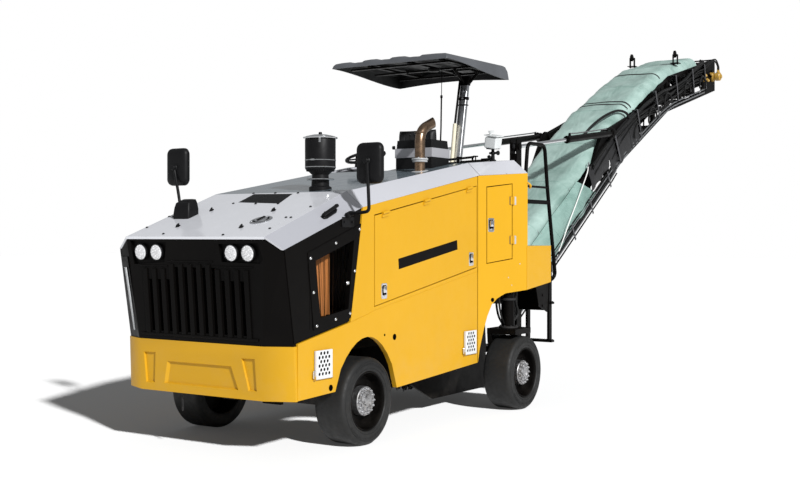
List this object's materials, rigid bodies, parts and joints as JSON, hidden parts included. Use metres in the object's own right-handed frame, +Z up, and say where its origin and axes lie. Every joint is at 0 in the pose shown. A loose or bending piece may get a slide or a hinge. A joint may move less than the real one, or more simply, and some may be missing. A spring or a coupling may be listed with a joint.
{
  "type": "cold planer milling machine",
  "caption": "Wheeled cold planer road milling machine with a milling drum, solid rubber tyres, canopied operator's platform and slewing rear loading conveyor",
  "frame": {"origin": "middle of the bounding box, on the ground", "axes": "+X forwards, away from the conveyor; +Y to the machine's left; +Z up"},
  "size_m": [10.7154, 2.135, 4.16],
  "materials": {
    "solid_tyre": "matt",
    "wheel_silver": "satin",
    "cast_grey": "rough",
    "black_paint": "satin",
    "yellow_paint": "gloss",
    "white_paint": "gloss",
    "blue_grey_paint": "gloss",
    "dark_grey_paint": "satin",
    "black_vinyl": "matt",
    "grey_plastic": "matt",
    "black_plastic": "matt",
    "light_grey_plastic": "matt",
    "bare_steel": "brushed",
    "polished_rod": "polished",
    "hot_steel": "heat stained",
    "orange_paint": "dusty",
    "gold_paint": "satin",
    "belt_rubber": "matt",
    "tarpaulin": "matt"
  },
  "bodies": {
    "chassis": {"air_precleaner": "black_plastic", "canopy": "grey_plastic", "canopy_mast": "bare_steel", "console": "grey_plastic", "control_box": "light_grey_plastic", "drum_housing": "black_paint", "engine_block": "cast_grey", "exhaust_pipe": "hot_steel", "front_axle": "cast_grey", "front_bumper": "yellow_paint", "front_grille": "black_paint", "hood": "white_paint", "ladder_left": "black_paint", "ladder_right": "black_paint", "main_frame": "black_paint", "mirror_left": "black_plastic", "mirror_right": "black_plastic", "platform": "dark_grey_paint", "radiator": "orange_paint", "rear_hood": "blue_grey_paint", "rear_leg_left": "black_paint", "rear_leg_right": "black_paint", "rear_panel_left": "yellow_paint", "rear_panel_right": "yellow_paint", "seat_back": "black_vinyl", "seat_base": "black_paint", "seat_cushion": "black_vinyl", "side_panel_left": "yellow_paint", "side_panel_right": "yellow_paint", "steering_column": "black_paint"},
    "steer_left": {"knuckle_left": "cast_grey"},
    "steer_right": {"knuckle_right": "cast_grey"},
    "wheel_front_left": {"tyre_front_left": "solid_tyre", "hub_front_left": "wheel_silver"},
    "wheel_front_right": {"tyre_front_right": "solid_tyre", "hub_front_right": "wheel_silver"},
    "wheel_rear_left": {"tyre_rear_left": "solid_tyre", "hub_rear_left": "wheel_silver"},
    "wheel_rear_right": {"tyre_rear_right": "solid_tyre", "hub_rear_right": "wheel_silver"},
    "milling_drum": {"milling_drum": "cast_grey"},
    "steering_wheel": {"steering_wheel": "black_plastic"},
    "side_door_left": {"side_door_left": "yellow_paint"},
    "rear_door_left": {"rear_door_left": "yellow_paint"},
    "side_door_right": {"side_door_right": "yellow_paint"},
    "rear_door_right": {"rear_door_right": "yellow_paint"},
    "folding_step_front": {"folding_step_front": "bare_steel"},
    "folding_step_rear": {"folding_step_rear": "bare_steel"},
    "slew_yoke": {"slew_yoke": "black_paint"},
    "conveyor_boom": {"conveyor_frame": "black_paint", "conveyor_belt": "belt_rubber", "conveyor_cover": "tarpaulin", "head_guard": "black_paint", "belt_motor": "gold_paint"},
    "luff_barrel_left": {"luff_barrel_left": "dark_grey_paint"},
    "luff_rod_left": {"luff_rod_left": "polished_rod"},
    "luff_barrel_right": {"luff_barrel_right": "dark_grey_paint"},
    "luff_rod_right": {"luff_rod_right": "polished_rod"}
  },
  "joints": [
    {"name": "steer_left", "type": "hinge", "parent": "chassis", "child": "steer_left", "pos_m": [4.37867, 0.4695, 0.32718], "axis": [0, 0, 1], "range_deg": [-28, 28]},
    {"name": "steer_right", "type": "hinge", "parent": "chassis", "child": "steer_right", "pos_m": [4.37867, -0.5305, 0.32718], "axis": [0, 0, 1], "range_deg": [-28, 28]},
    {"name": "wheel_front_left", "type": "hinge", "parent": "steer_left", "child": "wheel_front_left", "pos_m": [4.37867, 0.6835, 0.32718], "axis": [0, 1, 0], "continuous": true},
    {"name": "wheel_front_right", "type": "hinge", "parent": "steer_right", "child": "wheel_front_right", "pos_m": [4.37867, -0.7445, 0.32718], "axis": [0, 1, 0], "continuous": true},
    {"name": "wheel_rear_left", "type": "hinge", "parent": "chassis", "child": "wheel_rear_left", "pos_m": [2.17867, 0.8715, 0.32718], "axis": [0, 1, 0], "continuous": true},
    {"name": "wheel_rear_right", "type": "hinge", "parent": "chassis", "child": "wheel_rear_right", "pos_m": [2.17867, -0.9325, 0.32718], "axis": [0, 1, 0], "continuous": true},
    {"name": "drum_spin", "type": "hinge", "parent": "chassis", "child": "milling_drum", "pos_m": [2.17867, -0.2005, 0.425], "axis": [0, 1, 0], "continuous": true},
    {"name": "steering_wheel", "type": "hinge", "parent": "chassis", "child": "steering_wheel", "pos_m": [2.81867, -0.3005, 2.27], "axis": [0.342, 0, 0.9397], "continuous": true},
    {"name": "side_door_left", "type": "hinge", "parent": "chassis", "child": "side_door_left", "pos_m": [3.44867, 0.7808, 1.84721], "axis": [0.9848, 0, -0.1738], "range_deg": [0, 95]},
    {"name": "rear_door_left", "type": "hinge", "parent": "chassis", "child": "rear_door_left", "pos_m": [2.25636, 0.91804, 1.66], "axis": [0, 0, 1], "range_deg": [0, 110]},
    {"name": "side_door_right", "type": "hinge", "parent": "chassis", "child": "side_door_right", "pos_m": [3.44867, -0.8418, 1.84721], "axis": [-0.9848, 0, 0.1738], "range_deg": [0, 95]},
    {"name": "rear_door_right", "type": "hinge", "parent": "chassis", "child": "rear_door_right", "pos_m": [2.25636, -0.97904, 1.66], "axis": [0, 0, -1], "range_deg": [0, 110]},
    {"name": "folding_step_front", "type": "hinge", "parent": "chassis", "child": "folding_step_front", "pos_m": [4.88867, 0.7808, 0.556], "axis": [-1, 0, 0], "range_deg": [0, 90]},
    {"name": "folding_step_rear", "type": "hinge", "parent": "chassis", "child": "folding_step_rear", "pos_m": [2.79567, 0.7808, 0.542], "axis": [-1, 0, 0], "range_deg": [0, 90]},
    {"name": "conveyor_slew", "type": "hinge", "parent": "chassis", "child": "slew_yoke", "pos_m": [1.42867, -0.0305, 0.9], "axis": [0, 0, 1], "range_deg": [-40, 40]},
    {"name": "conveyor_luff", "type": "hinge", "parent": "slew_yoke", "child": "conveyor_boom", "pos_m": [1.17867, -0.0305, 0.8], "axis": [0, 1, 0], "range_deg": [-12, 8]},
    {"name": "luff_barrel_left", "type": "hinge", "parent": "conveyor_boom", "child": "luff_barrel_left", "pos_m": [-1.15633, 0.4295, 2.745], "axis": [0, 1, 0], "range_deg": [-2, 2]},
    {"name": "luff_rod_left", "type": "slide", "parent": "luff_barrel_left", "child": "luff_rod_left", "axis": [0.9917, 0, -0.1288], "range_m": [-0.24, 0.36]},
    {"name": "luff_barrel_right", "type": "hinge", "parent": "conveyor_boom", "child": "luff_barrel_right", "pos_m": [-1.15633, -0.4905, 2.745], "axis": [0, 1, 0], "range_deg": [-2, 2]},
    {"name": "luff_rod_right", "type": "slide", "parent": "luff_barrel_right", "child": "luff_rod_right", "axis": [0.9917, 0, -0.1288], "range_m": [-0.24, 0.36]}
  ],
  "couplings": [
    {"joint": "steer_right", "follows": "steer_left", "ratio": 1},
    {"joint": "luff_barrel_left", "follows": "conveyor_luff", "ratio": 0.02},
    {"joint": "luff_rod_left", "follows": "conveyor_luff", "m_per_rad": -1.628},
    {"joint": "luff_barrel_right", "follows": "conveyor_luff", "ratio": 0.02},
    {"joint": "luff_rod_right", "follows": "conveyor_luff", "m_per_rad": -1.628}
  ]
}
